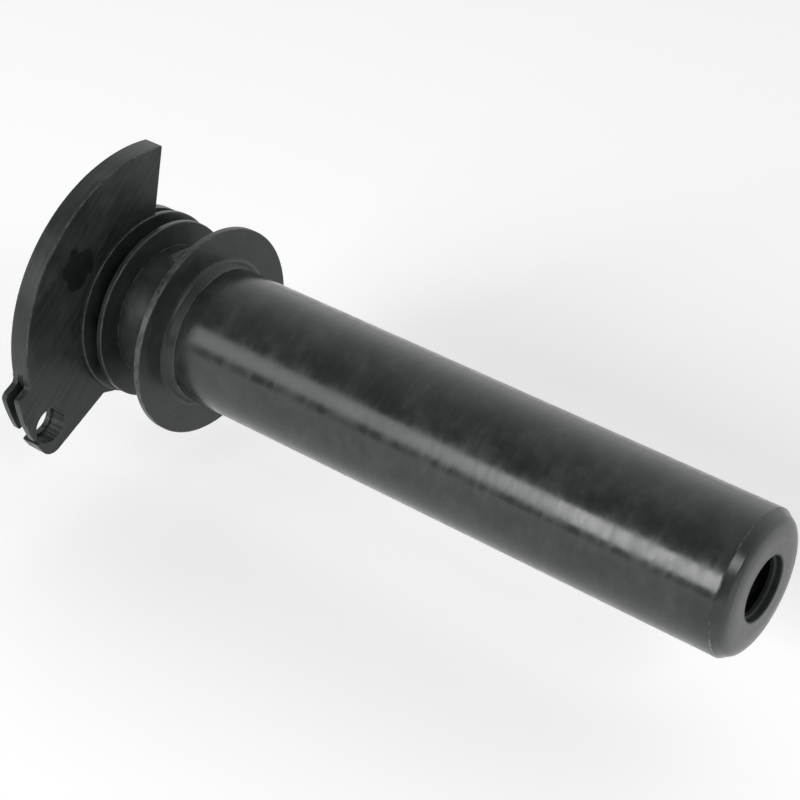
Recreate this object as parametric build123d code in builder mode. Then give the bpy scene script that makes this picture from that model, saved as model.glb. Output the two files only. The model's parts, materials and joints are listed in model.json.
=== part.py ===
"""Throttle tube for a 7/8 inch (22.2 mm) motorcycle handlebar, as a built-up assembly.

The handlebar's axis is +X, pointing to the closed outer end. +Z is up. The origin is the
point where the axis meets the front face of the thrust flange, against which the rubber
grip seats. Everything is in millimetres.
"""

import os
from math import cos, radians, sin

from build123d import *

# Grip tube and closed end
TUBE_R = 13.5
TUBE_BORE_R = 11.6
SHOULDER_X = 117.4
END_X = 119.8
CHAMFER_END = (118.95, 12.4)  # (x, r) points of the end's outline, from the shoulder inwards
CROWN_MID = (119.35, 11.74)
CROWN_END = (119.6, 10.95)
FACE_MID = (119.76, 9.6)
FACE_R = 8.2
END_HOLE_R = 6.0
LIP_R = 5.55
LIP_FRONT_X = 118.6
LIP_BACK_X = 117.7
EDGE = 0.15  # broken edge on every turned corner
FINE_EDGE = 0.05

# Thrust flange
FLANGE_R = 20.7
FLANGE_T = 1.4
COLLAR_X = 2.05
COLLAR_PROFILE = [(0.0, 15.0), (0.15, 14.62), (0.5, 14.28)]  # (x, r), flange face outwards
TOOTH_ANGLE = 106.0
TOOTH_INNER_R = 17.5
TOOTH_FLANK = 2.1
TOOTH_HEIGHT = 1.95
TOOTH_PEAK = 1.26  # how far the tooth's crest and its steep side lie past the middle
TOOTH_FOOT = 1.89
TOOTH_INSET = 0.02

# Cable drum, from the flange back to the sector
DRUM_R = 13.25
RING_FRONT_X = -12.4
RING_BACK_X = -13.55
RING_R = 17.9
WEB_FRONT_X = -16.4
WEB_R = 18.5
SPIGOT_R = 12.4
SPIGOT_X = 16.0
REAR_SPIGOT_R = 13.0

# Cable sector
SECTOR_FRONT_X = -17.5
SECTOR_BACK_X = -21.8
RIM_R = 31.9
RADIAL_EDGE = 76.6
RIM_END = 185.6
EAR_START_R = 35.1
EAR_START = 187.3
EAR_MID_R = 35.42
EAR_MID = 196.0
EAR_END_R = 35.77
LOWER_EDGE = 203.6
LOWER_EDGE_OFFSET = 7.88
CORNER_R = 3.1
EAR_CORNER_R = 0.7
EAR_ROOT_R = 0.9
REAR_EAR_R = 35.6
REAR_EAR_START = 186.9
REAR_RIM_END = 184.9
REAR_RIM_ARC = 3.0
REAR_EAR_CORNER_R = 1.5
REAR_ROOT_R = 1.4
EAR_END_FILLET_R = 0.6
HUB_DISC_R = 18.25
GUSSET_AT = 18.2  # how far out the lower edge turns in towards the hub
GUSSET_TIP = (18.4, 247.0)  # (r, angle)
HUB_DISC_FRONT_X = -19.6
NECK_R = 15.5

# Nipple seat and cable slot in the sector
NIPPLE_R = 3.7
REAR_HOLE_R = 3.15
NIPPLE_AT_R = 31.15
NIPPLE_ANGLE = 205.9
SLOT_FRONT_X = -18.95
SLOT_BACK_X = -20.65
SLOT_ANGLE = 195.0
SLOT_FLOOR_R = 30.9
SLOT_TOP = -9.0
SLOT_END = 5.9
MOUTH_W = 1.8
REAR_MOUTH_ANGLE = 204.85
REAR_MOUTH_W = 3.8
REAR_MOUTH_R = 32.15

# Handlebar bush
BAR_FIT_R = 11.15
BUSH_R = 11.65
BUSH_BACK_X = -21.3
BUSH_FRONT_X = 4.7
BAR_CLEAR_R = 11.4

# Sector circlip and the keys
CIRCLIP_T = 1.2
CIRCLIP_R = 15.1
CIRCLIP_GROOVE_R = 12.45
CIRCLIP_POCKET_R = 15.5
CIRCLIP_POCKET_X = -20.4
CIRCLIP_LUG_R = 1.25
CIRCLIP_LUG_AT_R = 13.75
CIRCLIP_GAP = 4.0
SECTOR_KEY_W = 3.0
SECTOR_KEY_LOW_R = 12.3
SECTOR_KEY_HIGH_R = 14.2
TUBE_KEY_W = 4.0
TUBE_KEY_LOW_R = 11.85
TUBE_KEY_HIGH_R = 12.9
TUBE_KEY_X = (5.0, 14.0)
TUBE_KEY_ANGLES = (0, 180)

# End bearing, 10 x 22 x 6 mm, and its circlip
BEARING_BACK_X = 107.4
BEARING_W = 6.0
BEARING_R = 11.0
BEARING_BORE_R = 5.0
PITCH_R = 8.0
BALL_R = 1.55
BALLS = 9
RACE_R = 1.65
INNER_LAND_R = 6.9
OUTER_LAND_R = 9.1
CAGE_IN_R = 7.35
CAGE_OUT_R = 8.65
CAGE_W = 4.2
POCKET_R = 1.62
SEAL_IN_R = 7.0
SEAL_OUT_R = 9.06
SEAL_T = 0.35
SEAL_INSET = 0.1
CAVITY_R = 9.4
END_CIRCLIP_IN_R = 9.7
END_CIRCLIP_OUT_R = 11.4
END_CIRCLIP_T = 1.0
END_CIRCLIP_LUG_R = 1.1
END_CIRCLIP_LUG_AT_R = 9.6
END_CIRCLIP_GAP = 3.6
CAP_SPIGOT_R = 12.5
CAP_SPIGOT_X = 103.4

LUG_HOLE = 0.45  # a lug's hole, as a share of the lug
FIT = 0.03  # radial gap of a located or pressed joint
BEYOND = 1.0  # how far a cutter runs past the face that it cuts

BEARING_FRONT_X = BEARING_BACK_X + BEARING_W
BEARING_MID_X = BEARING_BACK_X + BEARING_W / 2
CAGE_X = (BEARING_MID_X - CAGE_W / 2, BEARING_MID_X + CAGE_W / 2)
SEAL_BACK_X = BEARING_BACK_X + SEAL_INSET
SEAL_FRONT_X = BEARING_FRONT_X - SEAL_INSET
END_GROOVE_X = BEARING_BACK_X - END_CIRCLIP_T - 2 * FIT
KEY_X = (CIRCLIP_POCKET_X, SECTOR_FRONT_X)


def polar(radius, angle):
    """The point (y, z) at a radius and at an angle from +Y towards +Z."""
    return (radius * cos(radians(angle)), radius * sin(radians(angle)))


def beside(angle, radial, tangential):
    """The point (y, z) that lies `radial` along a direction and `tangential` across it."""
    y, z = polar(radial, angle)
    across_y, across_z = polar(tangential, angle + 90)
    return (y + across_y, z + across_z)


def from_axis(point):
    """How far a point lies from the X axis."""
    return (point.Y**2 + point.Z**2) ** 0.5


def sleeve(x_range, r_in, r_out, mode=Mode.ADD):
    """A round sleeve about the X axis."""
    with BuildSketch(Plane.XY) as section:
        with Locations(((x_range[0] + x_range[1]) / 2, (r_in + r_out) / 2)):
            Rectangle(x_range[1] - x_range[0], r_out - r_in)
    revolve(section.sketch, axis=Axis.X, mode=mode)


def turned(*profile):
    """A body turned about the X axis from the (x, r) points of its half section."""
    with BuildSketch(Plane.XY) as section:
        with BuildLine():
            Polyline(*profile, close=True)
        make_face()
    revolve(section.sketch, axis=Axis.X)


def disc_edge(x_range, radius, front_edge=EDGE):
    """The (x, r) points of a disc's rim, back to front, with both edges broken."""
    back, front = x_range
    return [
        (back, radius - EDGE),
        (back + EDGE, radius),
        (front - front_edge, radius),
        (front, radius - front_edge),
    ]


def block(x_range, angle, radial, width, tangential=0.0, mode=Mode.ADD):
    """A rectangular block along a radial direction, `width` wide across it."""
    centre = beside(angle, (radial[0] + radial[1]) / 2, tangential)
    with BuildSketch(Plane.YZ.offset(x_range[0])) as section:
        with Locations(centre):
            Rectangle(radial[1] - radial[0], width, rotation=angle)
    extrude(section.sketch, amount=x_range[1] - x_range[0], mode=mode)


def circlip(x_back, thickness, radii, lug_r, lug_at_r, gap_angle, gap_width):
    """A circlip: an open ring with two lugs, each with a hole for the pliers."""
    lug_offset = gap_width / 2 + lug_r
    lugs = [beside(gap_angle, lug_at_r, side * lug_offset) for side in (-1, 1)]
    with BuildSketch(Plane.YZ.offset(x_back)) as section:
        Circle(radii[1])
        Circle(radii[0], mode=Mode.SUBTRACT)
        with Locations(polar((radii[0] + radii[1]) / 2, gap_angle)):
            Rectangle(radii[1], gap_width, rotation=gap_angle, mode=Mode.SUBTRACT)
        with Locations(*lugs):
            Circle(lug_r)
            Circle(lug_r * LUG_HOLE, mode=Mode.SUBTRACT)
    extrude(section.sketch, amount=thickness)


def save(builder, name):
    """Label a finished piece and write its STEP file."""
    builder.part.label = name
    export_step(builder.part, f"parts/{name}.step")


os.makedirs("parts", exist_ok=True)

# The long tube that the rubber grip is glued to.
with BuildPart() as grip_tube:
    turned(
        (COLLAR_X, SPIGOT_R + FIT),
        *disc_edge((COLLAR_X, SHOULDER_X), TUBE_R, FINE_EDGE),
        (SHOULDER_X, CAP_SPIGOT_R + FIT),
        (CAP_SPIGOT_X - FIT, CAP_SPIGOT_R + FIT),
        (CAP_SPIGOT_X - FIT, TUBE_BORE_R),
        (SPIGOT_X + FIT, TUBE_BORE_R),
        (SPIGOT_X + FIT, SPIGOT_R + FIT),
    )
    for key_angle in TUBE_KEY_ANGLES:
        key_slot = (SPIGOT_R - BEYOND, TUBE_KEY_HIGH_R + FIT)
        block(TUBE_KEY_X, key_angle, key_slot, TUBE_KEY_W + 2 * FIT, mode=Mode.SUBTRACT)

# The closed end: a bevelled rim, a 12 mm hole with a lip, and the seat of the bearing.
with BuildPart() as end_cap:
    with BuildSketch(Plane.XY):
        with BuildLine():
            chamfer_line = Line((SHOULDER_X, TUBE_R - FINE_EDGE), CHAMFER_END)
            ThreePointArc(CHAMFER_END, CROWN_MID, CROWN_END)
            ThreePointArc(CROWN_END, FACE_MID, (END_X, FACE_R))
            Polyline(
                (END_X, FACE_R),
                (END_X, END_HOLE_R + EDGE),
                (END_X - EDGE, END_HOLE_R),
                (LIP_FRONT_X, END_HOLE_R),
                (LIP_FRONT_X, LIP_R + EDGE),
                (LIP_FRONT_X - EDGE, LIP_R),
                (LIP_BACK_X, LIP_R),
                (LIP_BACK_X, CAVITY_R),
                (BEARING_FRONT_X, CAVITY_R),
                (BEARING_FRONT_X, BEARING_R + FIT),
                (BEARING_BACK_X, BEARING_R + FIT),
                (BEARING_BACK_X, END_CIRCLIP_OUT_R + FIT),
                (END_GROOVE_X, END_CIRCLIP_OUT_R + FIT),
                (END_GROOVE_X, BEARING_R + FIT),
                (CAP_SPIGOT_X, BEARING_R + FIT),
                (CAP_SPIGOT_X, CAP_SPIGOT_R),
                (SHOULDER_X, CAP_SPIGOT_R),
                chamfer_line @ 0,
            )
        make_face()
    revolve(axis=Axis.X)

# The flange between the grip and the throttle housing, with its coned collar and its tooth.
with BuildPart() as thrust_flange:
    turned(
        (-FLANGE_T, SPIGOT_R + FIT),
        *disc_edge((-FLANGE_T, 0), FLANGE_R),
        *COLLAR_PROFILE,
        (COLLAR_X, TUBE_R + FIT),
        (COLLAR_X, SPIGOT_R + FIT),
    )
    tooth_plane = Plane(
        origin=(0, *polar(TOOTH_INNER_R, TOOTH_ANGLE)),
        x_dir=(1, 0, 0),
        z_dir=(0, *polar(1, TOOTH_ANGLE)),
    )
    with BuildPart(mode=Mode.PRIVATE) as tooth:
        with BuildSketch(tooth_plane):
            with BuildLine():
                Polyline(
                    (-FLANGE_T, TOOTH_FLANK),
                    (-FLANGE_T - TOOTH_HEIGHT, -TOOTH_PEAK),
                    (-FLANGE_T, -TOOTH_FOOT),
                    close=True,
                )
            make_face()
        extrude(amount=FLANGE_R)
        sleeve((-FLANGE_T - 2 * TOOTH_HEIGHT, 0), 0, FLANGE_R - TOOTH_INSET, mode=Mode.INTERSECT)
    add(tooth.part)

# The drum that runs in the housing, with its ring, its web and a spigot at each end.
with BuildPart() as cable_drum:
    turned(
        (SECTOR_BACK_X, BUSH_R + FIT),
        (SECTOR_BACK_X, REAR_SPIGOT_R - EDGE),
        (SECTOR_BACK_X + EDGE, REAR_SPIGOT_R),
        (SECTOR_FRONT_X, REAR_SPIGOT_R),
        *disc_edge((SECTOR_FRONT_X, WEB_FRONT_X), WEB_R),
        (WEB_FRONT_X, DRUM_R),
        (RING_BACK_X, DRUM_R),
        *disc_edge((RING_BACK_X, RING_FRONT_X), RING_R),
        (RING_FRONT_X, DRUM_R),
        (-FLANGE_T, DRUM_R),
        (-FLANGE_T, SPIGOT_R),
        (SPIGOT_X, SPIGOT_R),
        (SPIGOT_X, BAR_CLEAR_R),
        (BUSH_FRONT_X + FIT, BAR_CLEAR_R),
        (BUSH_FRONT_X + FIT, BUSH_R + FIT),
    )
    groove = (CIRCLIP_POCKET_X - CIRCLIP_T, CIRCLIP_POCKET_X)
    sleeve(groove, CIRCLIP_GROOVE_R, REAR_SPIGOT_R + BEYOND, mode=Mode.SUBTRACT)
    key_slot = (SECTOR_KEY_LOW_R, REAR_SPIGOT_R + BEYOND)
    block(KEY_X, NIPPLE_ANGLE, key_slot, SECTOR_KEY_W + 2 * FIT, mode=Mode.SUBTRACT)
    for key_angle in TUBE_KEY_ANGLES:
        key_slot = (TUBE_KEY_LOW_R, SPIGOT_R + BEYOND)
        block(TUBE_KEY_X, key_angle, key_slot, TUBE_KEY_W + 2 * FIT, mode=Mode.SUBTRACT)

# The half-moon sector that pulls the cable, with its hub, its two ears and the nipple seat.
with BuildPart() as cable_sector:
    lower_corner = beside(LOWER_EDGE, (EAR_END_R**2 - LOWER_EDGE_OFFSET**2) ** 0.5, LOWER_EDGE_OFFSET)
    with BuildSketch(Plane.YZ.offset(SECTOR_BACK_X)) as outline:
        with BuildLine():
            rim = ThreePointArc(
                polar(RIM_R, RADIAL_EDGE),
                polar(RIM_R, (RADIAL_EDGE + RIM_END) / 2),
                polar(RIM_R, RIM_END),
            )
            ear_top = Line(rim @ 1, polar(EAR_START_R, EAR_START))
            ear = ThreePointArc(ear_top @ 1, polar(EAR_MID_R, EAR_MID), lower_corner)
            lower_edge = Line(ear @ 1, beside(LOWER_EDGE, GUSSET_AT, LOWER_EDGE_OFFSET))
            Polyline(lower_edge @ 1, polar(*GUSSET_TIP), (0, 0), rim @ 0)
        make_face()
        for corner, radius in (
            (lower_corner, CORNER_R),
            (polar(EAR_START_R, EAR_START), EAR_CORNER_R),
            (polar(RIM_R, RIM_END), EAR_ROOT_R),
        ):
            fillet(outline.vertices().sort_by_distance((*corner, 0))[0], radius)
    extrude(amount=SECTOR_FRONT_X - SECTOR_BACK_X)
    outer_edges = [
        edge for edge in cable_sector.edges().filter_by(Plane.YZ) if from_axis(edge.center()) > HUB_DISC_R
    ]
    chamfer(outer_edges, EDGE)
    with BuildSketch(Plane.YZ.offset(SECTOR_BACK_X)) as rear_ear:
        with BuildLine():
            rear_top = Line(polar(RIM_R, REAR_RIM_END), polar(REAR_EAR_R, REAR_EAR_START))
            rear_arc = ThreePointArc(
                rear_top @ 1,
                polar(REAR_EAR_R, (REAR_EAR_START + REAR_MOUTH_ANGLE) / 2),
                polar(REAR_EAR_R, REAR_MOUTH_ANGLE),
            )
            rim_start = polar(RIM_R, REAR_RIM_END - REAR_RIM_ARC)
            Polyline(
                rear_arc @ 1,
                polar(NIPPLE_AT_R, NIPPLE_ANGLE),
                polar(NIPPLE_AT_R, REAR_RIM_END),
                rim_start,
            )
            ThreePointArc(rim_start, polar(RIM_R, REAR_RIM_END - REAR_RIM_ARC / 2), rear_top @ 0)
        make_face()
        for corner, radius in (
            (polar(REAR_EAR_R, REAR_EAR_START), REAR_EAR_CORNER_R),
            (polar(RIM_R, REAR_RIM_END), REAR_ROOT_R),
        ):
            fillet(rear_ear.vertices().sort_by_distance((*corner, 0))[0], radius)
    extrude(amount=SLOT_BACK_X - SECTOR_BACK_X)
    sleeve((SECTOR_BACK_X, HUB_DISC_FRONT_X), 0, HUB_DISC_R)
    sleeve((HUB_DISC_FRONT_X, SECTOR_FRONT_X), 0, NECK_R)
    sleeve((SECTOR_BACK_X - BEYOND, SECTOR_FRONT_X + BEYOND), 0, REAR_SPIGOT_R + FIT, mode=Mode.SUBTRACT)
    sleeve((SECTOR_BACK_X - BEYOND, CIRCLIP_POCKET_X), 0, CIRCLIP_POCKET_R, mode=Mode.SUBTRACT)
    key_slot = (REAR_SPIGOT_R - BEYOND, SECTOR_KEY_HIGH_R + FIT)
    block(KEY_X, NIPPLE_ANGLE, key_slot, SECTOR_KEY_W + 2 * FIT, mode=Mode.SUBTRACT)
    for hole_back_x, hole_r in ((SECTOR_BACK_X, REAR_HOLE_R), (SLOT_BACK_X, NIPPLE_R)):
        with BuildSketch(Plane.YZ.offset(hole_back_x)):
            with Locations(polar(NIPPLE_AT_R, NIPPLE_ANGLE)):
                Circle(hole_r)
        extrude(amount=SECTOR_FRONT_X - hole_back_x, mode=Mode.SUBTRACT)
    slot_depth = (SLOT_FLOOR_R, EAR_END_R + BEYOND)
    slot_middle = (SLOT_END + SLOT_TOP) / 2
    block((SLOT_BACK_X, SLOT_FRONT_X), SLOT_ANGLE, slot_depth, SLOT_END - SLOT_TOP, slot_middle,
          mode=Mode.SUBTRACT)
    mouth_depth = (NIPPLE_AT_R, EAR_END_R + BEYOND)
    block((SECTOR_BACK_X, SECTOR_FRONT_X), NIPPLE_ANGLE, mouth_depth, MOUTH_W, mode=Mode.SUBTRACT)
    rear_depth = (REAR_MOUTH_R, EAR_END_R + BEYOND)
    block((SECTOR_BACK_X, SLOT_FRONT_X), REAR_MOUTH_ANGLE, rear_depth, REAR_MOUTH_W,
          mode=Mode.SUBTRACT)
    ear_end = (SECTOR_BACK_X, *beside(REAR_MOUTH_ANGLE, REAR_EAR_R, -REAR_MOUTH_W / 2))
    fillet(cable_sector.edges().filter_by(Axis.X).sort_by_distance(ear_end)[0], EAR_END_FILLET_R)

# The key between the drum and the sector.
with BuildPart() as sector_key:
    key_x = (CIRCLIP_POCKET_X + FIT, SECTOR_FRONT_X - FIT)
    key_height = (SECTOR_KEY_LOW_R + FIT, SECTOR_KEY_HIGH_R)
    block(key_x, NIPPLE_ANGLE, key_height, SECTOR_KEY_W)

# The circlip that holds the sector on the drum's rear spigot.
with BuildPart() as sector_circlip:
    circlip(
        CIRCLIP_POCKET_X - CIRCLIP_T + FIT,
        CIRCLIP_T - 2 * FIT,
        (CIRCLIP_GROOVE_R + FIT, CIRCLIP_R),
        CIRCLIP_LUG_R,
        CIRCLIP_LUG_AT_R,
        RADIAL_EDGE,
        CIRCLIP_GAP,
    )

# The two keys between the drum's front spigot and the tube.
with BuildPart() as tube_keys:
    key_x = (TUBE_KEY_X[0] + FIT, TUBE_KEY_X[1] - FIT)
    key_height = (TUBE_KEY_LOW_R + FIT, TUBE_KEY_HIGH_R)
    for key_angle in TUBE_KEY_ANGLES:
        block(key_x, key_angle, key_height, TUBE_KEY_W)

# The low-friction bush that runs on the handlebar.
with BuildPart() as bar_bush:
    turned(
        (BUSH_BACK_X, BAR_FIT_R + EDGE),
        (BUSH_BACK_X, BUSH_R),
        (BUSH_FRONT_X, BUSH_R),
        (BUSH_FRONT_X, BAR_FIT_R + EDGE),
        (BUSH_FRONT_X - EDGE, BAR_FIT_R),
        (BUSH_BACK_X + EDGE, BAR_FIT_R),
    )


def raceway():
    """The ball groove, cut from a bearing ring."""
    with BuildSketch(Plane.XY) as section:
        with Locations((BEARING_MID_X, PITCH_R)):
            Circle(RACE_R)
    revolve(section.sketch, axis=Axis.X, mode=Mode.SUBTRACT)


with BuildPart() as bearing_outer_ring:
    sleeve((BEARING_BACK_X, BEARING_FRONT_X), OUTER_LAND_R, BEARING_R)
    raceway()

with BuildPart() as bearing_inner_ring:
    turned(
        (BEARING_BACK_X, BEARING_BORE_R + EDGE),
        (BEARING_BACK_X, INNER_LAND_R),
        (BEARING_FRONT_X, INNER_LAND_R),
        (BEARING_FRONT_X, BEARING_BORE_R + 2 * EDGE),
        (BEARING_FRONT_X - 2 * EDGE, BEARING_BORE_R),
        (BEARING_BACK_X + EDGE, BEARING_BORE_R),
    )
    raceway()

ball_angles = [index * 360 / BALLS for index in range(BALLS)]

with BuildPart() as bearing_balls:
    with Locations(*[(BEARING_MID_X, *polar(PITCH_R, angle)) for angle in ball_angles]):
        Sphere(BALL_R)

with BuildPart() as bearing_cage:
    sleeve(CAGE_X, CAGE_IN_R, CAGE_OUT_R)
    for angle in ball_angles:
        pocket_plane = Plane(
            origin=(BEARING_MID_X, *polar(CAGE_IN_R - BEYOND, angle)),
            x_dir=(1, 0, 0),
            z_dir=(0, *polar(1, angle)),
        )
        with BuildSketch(pocket_plane):
            Circle(POCKET_R)
        extrude(amount=CAGE_OUT_R - CAGE_IN_R + 2 * BEYOND, mode=Mode.SUBTRACT)

with BuildPart() as bearing_seal_inboard:
    sleeve((SEAL_BACK_X, SEAL_BACK_X + SEAL_T), SEAL_IN_R, SEAL_OUT_R)

with BuildPart() as bearing_seal_outboard:
    sleeve((SEAL_FRONT_X - SEAL_T, SEAL_FRONT_X), SEAL_IN_R, SEAL_OUT_R)

# The circlip that holds the bearing in the end cap.
with BuildPart() as bearing_circlip:
    circlip(
        END_GROOVE_X + FIT,
        END_CIRCLIP_T,
        (END_CIRCLIP_IN_R, END_CIRCLIP_OUT_R),
        END_CIRCLIP_LUG_R,
        END_CIRCLIP_LUG_AT_R,
        90.0,
        END_CIRCLIP_GAP,
    )

save(grip_tube, "grip_tube")
save(end_cap, "end_cap")
save(thrust_flange, "thrust_flange")
save(cable_drum, "cable_drum")
save(cable_sector, "cable_sector")
save(sector_key, "sector_key")
save(sector_circlip, "sector_circlip")
save(tube_keys, "tube_keys")
save(bar_bush, "bar_bush")
save(bearing_outer_ring, "bearing_outer_ring")
save(bearing_inner_ring, "bearing_inner_ring")
save(bearing_balls, "bearing_balls")
save(bearing_cage, "bearing_cage")
save(bearing_seal_inboard, "bearing_seal_inboard")
save(bearing_seal_outboard, "bearing_seal_outboard")
save(bearing_circlip, "bearing_circlip")
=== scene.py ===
"""The looks of a motorcycle throttle tube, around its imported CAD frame. Metres, +X along the bar."""

import json
from math import cos, hypot, pi, radians, sin

import bpy
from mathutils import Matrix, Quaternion, Vector


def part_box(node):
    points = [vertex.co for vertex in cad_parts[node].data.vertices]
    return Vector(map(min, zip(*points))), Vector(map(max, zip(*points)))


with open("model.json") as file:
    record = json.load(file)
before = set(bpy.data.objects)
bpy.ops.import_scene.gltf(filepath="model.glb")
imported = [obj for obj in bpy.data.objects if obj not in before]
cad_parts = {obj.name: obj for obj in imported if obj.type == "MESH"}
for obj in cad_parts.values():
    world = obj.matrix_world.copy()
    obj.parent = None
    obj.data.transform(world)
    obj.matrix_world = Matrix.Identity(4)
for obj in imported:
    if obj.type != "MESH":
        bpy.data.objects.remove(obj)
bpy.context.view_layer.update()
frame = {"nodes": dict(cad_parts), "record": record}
scene = bpy.context.scene
MM = 0.001

# ---------------------------------------------------------------- node graphs


class Graph:
    """A material's node tree. Each method adds one node and returns its output."""

    def __init__(self, name):
        self.mat = bpy.data.materials.new(name)
        self.mat.use_nodes = True
        self.tree = self.mat.node_tree
        self.shader = self.tree.nodes["Principled BSDF"]
        self.point = self.node("ShaderNodeTexCoord").outputs["Object"]
        self.normal = self.node("ShaderNodeNewGeometry").outputs["Normal"]

    def node(self, kind, **settings):
        made = self.tree.nodes.new(kind)
        for key, value in settings.items():
            setattr(made, key, value)
        return made

    def feed(self, socket, value):
        """Link an output to a socket, or set the socket to a plain value."""
        if isinstance(value, bpy.types.NodeSocket):
            self.tree.links.new(value, socket)
        else:
            socket.default_value = value

    def math(self, operation, a, b=0.0, clamp=False):
        made = self.node("ShaderNodeMath", operation=operation, use_clamp=clamp)
        self.feed(made.inputs[0], a)
        self.feed(made.inputs[1], b)
        return made.outputs[0]

    def vector(self, operation, a, b):
        made = self.node("ShaderNodeVectorMath", operation=operation)
        self.feed(made.inputs[0], a)
        self.feed(made.inputs[1], b)
        return made.outputs["Value"] if operation == "DOT_PRODUCT" else made.outputs["Vector"]

    def split(self, vector):
        made = self.node("ShaderNodeSeparateXYZ")
        self.feed(made.inputs[0], vector)
        return made.outputs[0], made.outputs[1], made.outputs[2]

    def join(self, x, y, z):
        made = self.node("ShaderNodeCombineXYZ")
        for socket, value in zip(made.inputs, (x, y, z)):
            self.feed(socket, value)
        return made.outputs[0]

    def noise(self, vector, scale, detail=3.0, roughness=0.5, distortion=0.0):
        """Noise with features about 1 / scale metres across, from 0 to 1."""
        made = self.node("ShaderNodeTexNoise")
        self.feed(made.inputs["Vector"], vector)
        made.inputs["Scale"].default_value = scale
        made.inputs["Detail"].default_value = detail
        made.inputs["Roughness"].default_value = roughness
        made.inputs["Distortion"].default_value = distortion
        return made.outputs["Fac"]

    def span(self, value, low, high, out_low=0.0, out_high=1.0):
        """Map a value from low..high to another span, held at its ends."""
        made = self.node("ShaderNodeMapRange", interpolation_type="SMOOTHSTEP")
        for socket, given in zip(made.inputs, (value, low, high, out_low, out_high)):
            self.feed(socket, given)
        return made.outputs[0]

    def blend(self, share, a, b):
        """Mix two colours."""
        made = self.node("ShaderNodeMix", data_type="RGBA")
        self.feed(made.inputs["Factor"], share)
        self.feed(made.inputs["A"], a)
        self.feed(made.inputs["B"], b)
        return made.outputs["Result"]

    def bump(self, height, distance, strength=1.0, normal=None):
        made = self.node("ShaderNodeBump")
        made.inputs["Strength"].default_value = strength
        made.inputs["Distance"].default_value = distance
        self.feed(made.inputs["Height"], height)
        if normal is not None:
            self.feed(made.inputs["Normal"], normal)
        return made.outputs["Normal"]

    def dots(self, scale, size, share):
        """Round specks: 1 inside a speck. `share` of the cells hold one, `size` is in cells."""
        cells = self.node("ShaderNodeTexVoronoi")
        self.feed(cells.inputs["Vector"], self.point)
        cells.inputs["Scale"].default_value = scale
        near = self.span(cells.outputs["Distance"], size * 0.5, size, 1.0, 0.0)
        chosen, _, _ = self.split(cells.outputs["Color"])
        picked = self.math("LESS_THAN", chosen, share)
        return self.math("MULTIPLY", near, picked)

    def radius(self, centre=(0.0, 0.0)):
        """The distance from a line along X through a centre given as (y, z)."""
        _, y, z = self.split(self.vector("SUBTRACT", self.point, (0, *centre)))
        squares = self.math("ADD", self.math("POWER", y, 2.0), self.math("POWER", z, 2.0))
        return self.math("SQRT", squares)

    def turned_point(self, length=20.0):
        """A point whose noise is drawn out around the bar, on a cylinder and on a face alike."""
        x, y, z = self.split(self.point)
        across = self.math("ADD", x, self.radius())
        return self.join(across, self.math("DIVIDE", y, length), self.math("DIVIDE", z, length))

    def brushed_point(self, angle, length=20.0):
        """A point drawn out along a direction in the YZ plane, given from +Y towards +Z."""
        along = self.vector("DOT_PRODUCT", self.point, (0, cos(radians(angle)), sin(radians(angle))))
        across = self.vector("DOT_PRODUCT", self.point, (0, -sin(radians(angle)), cos(radians(angle))))
        return self.join(across, self.math("DIVIDE", along, length), 0.0)

    def edge_rounding(self, radius):
        """The rounded normal, and a mask that is 1 on a sharp edge."""
        made = self.node("ShaderNodeBevel", samples=6)
        made.inputs["Radius"].default_value = radius
        rounded = made.outputs["Normal"]
        agreement = self.vector("DOT_PRODUCT", rounded, self.normal)
        return rounded, self.span(agreement, 0.985, 0.90, 0.0, 1.0)


# ---------------------------------------------------------------- materials

ACETAL_DARK = (0.0140, 0.0168, 0.0165, 1)
ACETAL_LIGHT = (0.0240, 0.0275, 0.0268, 1)
ACETAL_SCUFF = (0.070, 0.077, 0.075, 1)
# Pale edge colour: partly wear and burrs, partly a painted highlight along the edges.
ACETAL_EDGE_WEAR_AND_HIGHLIGHT = (0.26, 0.27, 0.265, 1)
# A darker tone for a ragged patch on the sector's face.
ACETAL_PATCH_DARK = (0.008, 0.010, 0.010, 1)
ACETAL_MILLED = (0.075, 0.080, 0.078, 1)
DUST = (0.30, 0.32, 0.31, 1)
ACETAL_IOR = 1.49
STREAK_ANGLE = 38.0  # of the brush streaks, in degrees from +Y towards +Z
ACETAL_EDGE_R = 0.20 * MM  # how wide a pale edge is, partly wear and partly painted edge highlight
HARD_EDGE_R = 0.12 * MM  # the same, on steel and on the harder polymers
MARK_FEATHER = 0.15 * MM  # how softly a band of painted highlight and rub marks ends
MARK_FADE = 9.0 * MM  # over what height it fades out
BORE_FEATHER = 0.4 * MM  # how softly a clean bore ends
# Denoising draws a hard line where roughness crosses this limit, so a finish stays on one side of it.
ROUGH_LIMIT = 0.27


def turned_grain(g):
    """Fine lathe rings over broader ones."""
    rings = g.noise(g.turned_point(), 4200, 2, 0.6)
    broad = g.noise(g.turned_point(), 1300, 2, 0.5)
    return g.math("ADD", g.math("MULTIPLY", rings, 0.6), g.math("MULTIPLY", broad, 0.4))


def brushed_grain(g):
    """Straight brush streaks on the flat faces, and marks around the bar on the rims."""
    streaks = g.noise(g.brushed_point(STREAK_ANGLE), 1100, 4, 0.6)
    across, _, _ = g.split(g.normal)
    on_face = g.span(g.math("ABSOLUTE", across), 0.8, 0.95)
    on_rim = g.math("SUBTRACT", 1.0, on_face)
    return g.math("ADD", g.math("MULTIPLY", streaks, on_face), g.math("MULTIPLY", turned_grain(g), on_rim))


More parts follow.
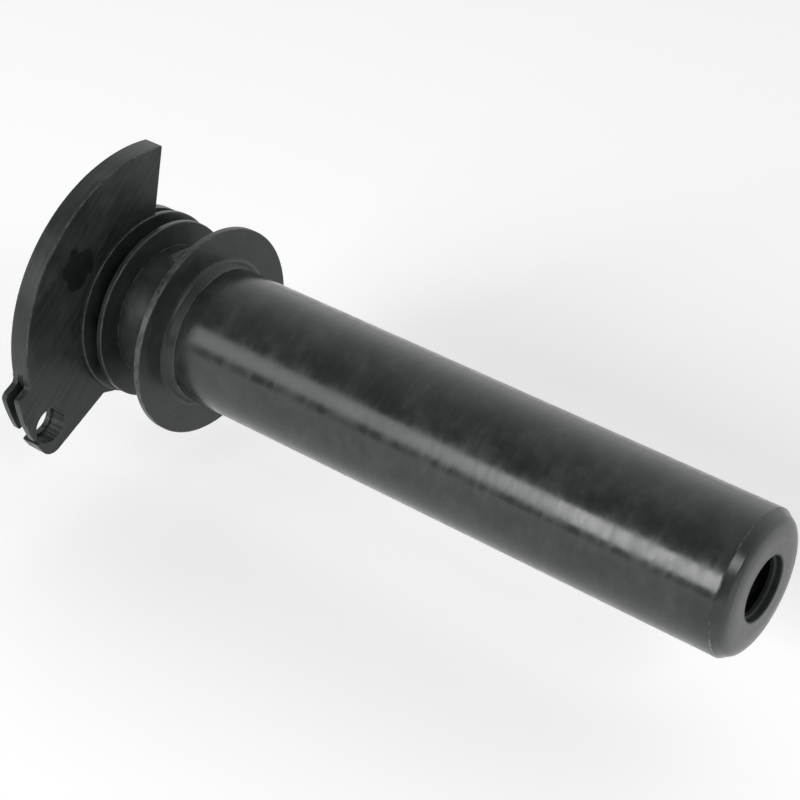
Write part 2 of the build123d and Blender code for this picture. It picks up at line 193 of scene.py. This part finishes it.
def broken_highlight_band(g, low_x, high_x, top_z, strength):
    """A mask of painted highlight, broken up by nicks and rub marks, on a band of x, fading out towards a
    height.
    """
    x, _, z = g.split(g.point)
    band = g.math("MULTIPLY", g.span(x, low_x, low_x + MARK_FEATHER),
                  g.span(x, high_x - MARK_FEATHER, high_x, 1.0, 0.0))
    broken = g.math("MULTIPLY", g.span(g.noise(g.point, 700, 3, 0.7), 0.42, 0.55),
                    g.span(z, top_z - MARK_FADE, top_z, 1.0, 0.0))
    return g.math("MULTIPLY", g.math("MULTIPLY", band, broken), strength)


def ragged_dark_patch(g, centre, size):
    """A mask of a ragged patch round a (y, z) centre, on the faces towards +X."""
    wander = g.span(g.noise(g.point, 300, 3, 0.6), 0.2, 0.8, -0.4 * size, 0.4 * size)
    ragged = g.math("ADD", g.radius(centre), wander)
    across, _, _ = g.split(g.normal)
    return g.math("MULTIPLY", g.span(ragged, size * 0.85, size, 0.85, 0.0), g.span(across, 0.5, 0.9))


def milled_wall(g, centre, size):
    """A mask of a bare hole round a (y, z) centre, and the cutter's chatter along its wall."""
    bare = g.span(g.radius(centre), size, size + 0.1 * MM, 1.0, 0.0)
    chatter = g.span(g.noise(g.brushed_point(90.0, 1.0), 2400, 3, 0.7), 0.36, 0.64)
    return bare, chatter


def black_acetal(name, grain=turned_grain, contrast=0.18, rough=0.20, edge_wear_and_highlight=0.5, scuffs=0.3, mark_depth=0.003,
                 ripple=0.010, shine=0.5, clean_bore=0.0, highlight_band=None, dark_patch=None, milled=None):
    """Machined black acetal: tool marks, soft scuffs, dust specks, and pale edges that are partly wear and
    partly painted highlight.

    Inside the `clean_bore` radius it is dull, with no pale edges. `highlight_band`, `dark_patch` and
    `milled` hold what broken_highlight_band, ragged_dark_patch and milled_wall take. `mark_depth` and
    `ripple` are in millimetres.
    """
    g = Graph(name)
    cloud = g.noise(g.point, 160, 4, 0.6)
    fine = g.noise(g.point, 2600, 2, 0.5)
    marks = grain(g)
    smears = g.noise(g.turned_point(2.5), 620, 2, 0.5)
    rounded, edge = g.edge_rounding(ACETAL_EDGE_R)

    scuff = g.math("MULTIPLY", g.span(cloud, 0.30, 0.80), g.span(smears, 0.30, 0.85))
    scuff = g.math("MULTIPLY", scuff, scuffs)
    # The pale edge mask: partly wear, partly a painted edge highlight.
    wear_and_highlight = g.math("MULTIPLY", edge, g.span(g.noise(g.point, 420, 3, 0.6), 0.40, 0.62))
    wear_and_highlight = g.math("MULTIPLY", wear_and_highlight, g.span(g.radius(), clean_bore - BORE_FEATHER, clean_bore, 0.0, edge_wear_and_highlight))
    # The painted highlight band on the shoulder or rim joins the pale edge mask.
    if highlight_band:
        wear_and_highlight = g.math("MAXIMUM", wear_and_highlight, broken_highlight_band(g, *highlight_band))

    tone = g.blend(g.span(cloud, 0.3, 0.7), ACETAL_DARK, ACETAL_LIGHT)
    tone = g.blend(g.span(marks, 0.35, 0.80, 0.0, contrast), tone, ACETAL_SCUFF)
    tone = g.blend(scuff, tone, ACETAL_SCUFF)
    tone = g.blend(wear_and_highlight, tone, ACETAL_EDGE_WEAR_AND_HIGHLIGHT)
    tone = g.blend(g.math("MULTIPLY", g.dots(520, 0.055, 0.03), 0.7), tone, DUST)

    gloss = g.span(cloud, 0.3, 0.75, rough, rough + 0.08)
    gloss = g.math("ADD", gloss, g.math("MULTIPLY", g.math("ADD", scuff, wear_and_highlight), 0.25))
    gloss = g.math("ADD", gloss, g.span(smears, 0.3, 0.7, -0.035, 0.035))
    gloss = g.math("MINIMUM" if rough < ROUGH_LIMIT else "MAXIMUM", gloss, ROUGH_LIMIT)
    gloss = g.math("ADD", gloss, g.span(g.radius(), clean_bore - BORE_FEATHER, clean_bore, 0.30, 0.0))
    height = g.math("ADD", marks, g.math("MULTIPLY", fine, 0.08))

    # Darkens a ragged patch on the sector's face.
    if dark_patch:
        tone = g.blend(ragged_dark_patch(g, *dark_patch), tone, ACETAL_PATCH_DARK)
    if milled:
        bare, chatter = milled_wall(g, *milled)
        tone = g.blend(bare, tone, g.blend(chatter, ACETAL_DARK, ACETAL_MILLED))
        gloss = g.math("MAXIMUM", gloss, g.math("MULTIPLY", bare, 0.5))
        height = g.math("ADD", height, g.math("MULTIPLY", g.math("MULTIPLY", chatter, bare), 5.0))

    g.feed(g.shader.inputs["Base Color"], tone)
    g.feed(g.shader.inputs["Roughness"], gloss)
    g.shader.inputs["IOR"].default_value = ACETAL_IOR
    g.shader.inputs["Specular IOR Level"].default_value = shine
    wavy = g.bump(smears, ripple * MM, 1.0, rounded)
    g.feed(g.shader.inputs["Normal"], g.bump(height, mark_depth * MM, 1.0, wavy))
    return g.mat


def steel(name, colour, rough):
    """Ground or polished steel with fine lay marks and a little oil stain."""
    g = Graph(name)
    lay = g.noise(g.turned_point(), 3600, 3, 0.6)
    dark_patch = g.noise(g.point, 240, 4, 0.6)
    rounded, edge = g.edge_rounding(HARD_EDGE_R)
    deep = tuple(c * 0.6 for c in colour) + (1,)
    tone = g.blend(g.span(dark_patch, 0.35, 0.7), deep, (*colour, 1))
    tone = g.blend(g.math("MULTIPLY", edge, 0.5), tone, (0.75, 0.75, 0.74, 1))
    g.feed(g.shader.inputs["Base Color"], tone)
    g.shader.inputs["Metallic"].default_value = 1.0
    g.feed(g.shader.inputs["Roughness"], g.span(dark_patch, 0.3, 0.7, rough, rough + 0.15))
    g.feed(g.shader.inputs["Normal"], g.bump(lay, 0.004 * MM, 1.0, rounded))
    return g.mat


def polymer(name, colour, rough, depth=0.01):
    """A moulded or sawn polymer: mottled, with a fine grain whose depth is in millimetres."""
    g = Graph(name)
    cloud = g.noise(g.point, 300, 4, 0.6)
    fine = g.noise(g.point, 3000, 3, 0.6)
    rounded, edge = g.edge_rounding(HARD_EDGE_R)
    deep = tuple(c * 0.72 for c in colour) + (1,)
    tone = g.blend(g.span(cloud, 0.3, 0.7), deep, (*colour, 1))
    tone = g.blend(g.math("MULTIPLY", edge, 0.4), tone, tuple(min(1.0, c * 1.5) for c in colour) + (1,))
    g.feed(g.shader.inputs["Base Color"], tone)
    g.feed(g.shader.inputs["Roughness"], g.span(fine, 0.3, 0.7, rough, rough + 0.12))
    g.feed(g.shader.inputs["Normal"], g.bump(fine, depth * MM, 1.0, rounded))
    return g.mat


nipple_seat = next(m for m in frame["record"]["mounts"] if m["name"] == "cable_nipple_seat")
tube_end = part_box("end_cap")[1].x
CAP_BORE_R = 6.5 * MM
# A centre as (y, z), and a radius.
NIPPLE_HOLE = (tuple(nipple_seat["pos_m"][1:]), 3.8 * MM)
# A darker ragged patch on the sector's face.
DARK_PATCH = ((-17.0 * MM, 16.0 * MM), 4.0 * MM)
# A band of painted highlight, broken up by nicks and rub marks: its two ends along x, the height it fades
# out towards, and its strength.
SHOULDER = (tube_end - 2.60 * MM, tube_end - 2.0 * MM, 2.0 * MM, 0.5)
FLANGE_RIM = (-1.45 * MM, -0.05 * MM, 24.0 * MM, 0.14)

finishes = {
    "grip_tube": black_acetal("acetal_tube", contrast=0.10, rough=0.18, scuffs=0.40, ripple=0.028),
    "end_cap": black_acetal("acetal_end", rough=0.20, scuffs=0.35, clean_bore=CAP_BORE_R, highlight_band=SHOULDER),
    "thrust_flange": black_acetal("acetal_flange", rough=0.30, scuffs=0.40, edge_wear_and_highlight=0.8, shine=0.40,
                                  highlight_band=FLANGE_RIM),
    "cable_drum": black_acetal("acetal_drum", rough=0.30, scuffs=0.30, edge_wear_and_highlight=0.7, shine=0.42),
    "cable_sector": black_acetal("acetal_sector", brushed_grain, contrast=0.42, rough=0.31, edge_wear_and_highlight=1.0,
                                 mark_depth=0.005, shine=0.30, dark_patch=DARK_PATCH, milled=NIPPLE_HOLE),
    "sector_key": steel("key_steel", (0.42, 0.42, 0.43), 0.30),
    "sector_circlip": steel("spring_steel", (0.12, 0.12, 0.13), 0.34),
    "bar_bush": polymer("bush_polymer", (0.62, 0.58, 0.48), 0.40),
    "bearing_outer_ring": steel("bearing_steel", (0.40, 0.41, 0.42), 0.24),
    "bearing_balls": steel("ball_steel", (0.72, 0.73, 0.74), 0.10),
    "bearing_cage": polymer("cage_nylon", (0.55, 0.48, 0.34), 0.45),
    "bearing_seal_inboard": polymer("seal_rubber", (0.03, 0.03, 0.03), 0.55, depth=0.02),
}
finishes["tube_keys"] = finishes["sector_key"]
finishes["bearing_circlip"] = finishes["sector_circlip"]
finishes["bearing_inner_ring"] = finishes["bearing_outer_ring"]
finishes["bearing_seal_outboard"] = finishes["bearing_seal_inboard"]

for name, node in frame["nodes"].items():
    node.data.materials.clear()
    node.data.materials.append(finishes[name])

# ---------------------------------------------------------------- stage

FLOOR_SIZE = 6.0
FLOOR_TONE = 0.92
FLOOR_GLOW = 0.23
FLOOR_GAP = 0.4 * MM

# The floor lies just under the circle that the sector's outermost corner sweeps as the throttle turns.
sector_reach = max(hypot(v.co.y, v.co.z) for v in frame["nodes"]["cable_sector"].data.vertices)
bpy.ops.mesh.primitive_plane_add(size=FLOOR_SIZE, location=(0, 0, -sector_reach - FLOOR_GAP))
floor = bpy.context.object
floor.name = "floor"
paper = Graph("floor_paper")
paper.shader.inputs["Base Color"].default_value = (FLOOR_TONE, FLOOR_TONE, FLOOR_TONE, 1)
paper.shader.inputs["Roughness"].default_value = 0.9
paper.shader.inputs["Specular IOR Level"].default_value = 0.1
paper.shader.inputs["Emission Color"].default_value = (1, 1, 1, 1)
paper.shader.inputs["Emission Strength"].default_value = FLOOR_GLOW
floor.data.materials.append(paper.mat)


def along(azimuth, elevation):
    """The direction towards a light: azimuth 0 is at -Y and 90 at +X."""
    a, e = radians(azimuth), radians(elevation)
    return Vector((sin(a) * cos(e), -cos(a) * cos(e), sin(e)))


LIGHT_AIM = Vector((0.045, 0, 0))
LIGHT_DISTANCE = 1.2


def softbox(name, azimuth, elevation, size, radiance, roll=0.0):
    """A rectangular soft light of a given brightness, facing the tube. A roll lifts its +X end."""
    light = bpy.data.lights.new(name, "AREA")
    light.shape = "RECTANGLE"
    light.size, light.size_y = size
    light.energy = radiance * pi * size[0] * size[1]
    lamp = bpy.data.objects.new(name, light)
    scene.collection.objects.link(lamp)
    back = along(azimuth, elevation)
    lamp.location = LIGHT_AIM + back * LIGHT_DISTANCE
    lamp.rotation_mode = "QUATERNION"
    lamp.rotation_quaternion = back.to_track_quat("Z", "Y") @ Quaternion((0, 0, 1), radians(roll))


softbox("key", azimuth=-10, elevation=24.5, size=(0.62, 0.51), radiance=7.6, roll=10)
softbox("key_fill", azimuth=-34, elevation=22, size=(0.62, 0.46), radiance=2.8)
softbox("right", azimuth=65, elevation=38, size=(0.42, 0.34), radiance=5.0)

# The room's brightness by the Y of a direction: dark in front of the object and bright behind it.
ROOM = ((-1.0, 0.14), (-0.4, 0.14), (-0.2, 0.22), (0.04, 0.42),
        (0.28, 0.62), (0.50, 0.84), (0.80, 1.16), (1.0, 1.20))


def light_room(levels):
    """Make the world a soft gradient along Y."""
    world = bpy.data.worlds.new("studio")
    world.use_nodes = True
    scene.world = world
    sky = world.node_tree
    direction = sky.nodes.new("ShaderNodeTexCoord")
    parts = sky.nodes.new("ShaderNodeSeparateXYZ")
    lift = sky.nodes.new("ShaderNodeMath")
    shade = sky.nodes.new("ShaderNodeValToRGB")
    lift.operation = "MULTIPLY_ADD"
    lift.inputs[1].default_value = 0.5
    lift.inputs[2].default_value = 0.5
    ramp = shade.color_ramp
    while len(ramp.elements) < len(levels):
        ramp.elements.new(0.5)
    for element, (y, level) in zip(ramp.elements, levels):
        element.position = (y + 1) / 2
        element.color = (level, level, level, 1)
    sky.links.new(direction.outputs["Generated"], parts.inputs[0])
    sky.links.new(parts.outputs["Y"], lift.inputs[0])
    sky.links.new(lift.outputs[0], shade.inputs["Fac"])
    sky.links.new(shade.outputs["Color"], sky.nodes["Background"].inputs["Color"])


light_room(ROOM)

# ---------------------------------------------------------------- camera

AZIMUTH, ELEVATION = 37.73, 36.69
AIM = Vector((0.0413, 0.0045, 0.0))
DISTANCE = 0.3902
FOCAL_LENGTH = 96.33
SENSOR_WIDTH = 36

camera = bpy.data.objects.new("camera", bpy.data.cameras.new("camera"))
scene.collection.objects.link(camera)
scene.camera = camera
camera.location = AIM + along(AZIMUTH, ELEVATION) * DISTANCE
camera.rotation_euler = (radians(90 - ELEVATION), 0, radians(AZIMUTH))
camera.data.lens = FOCAL_LENGTH
camera.data.sensor_width = SENSOR_WIDTH
camera.data.clip_start = 0.01
scene.view_settings.view_transform = "Standard"
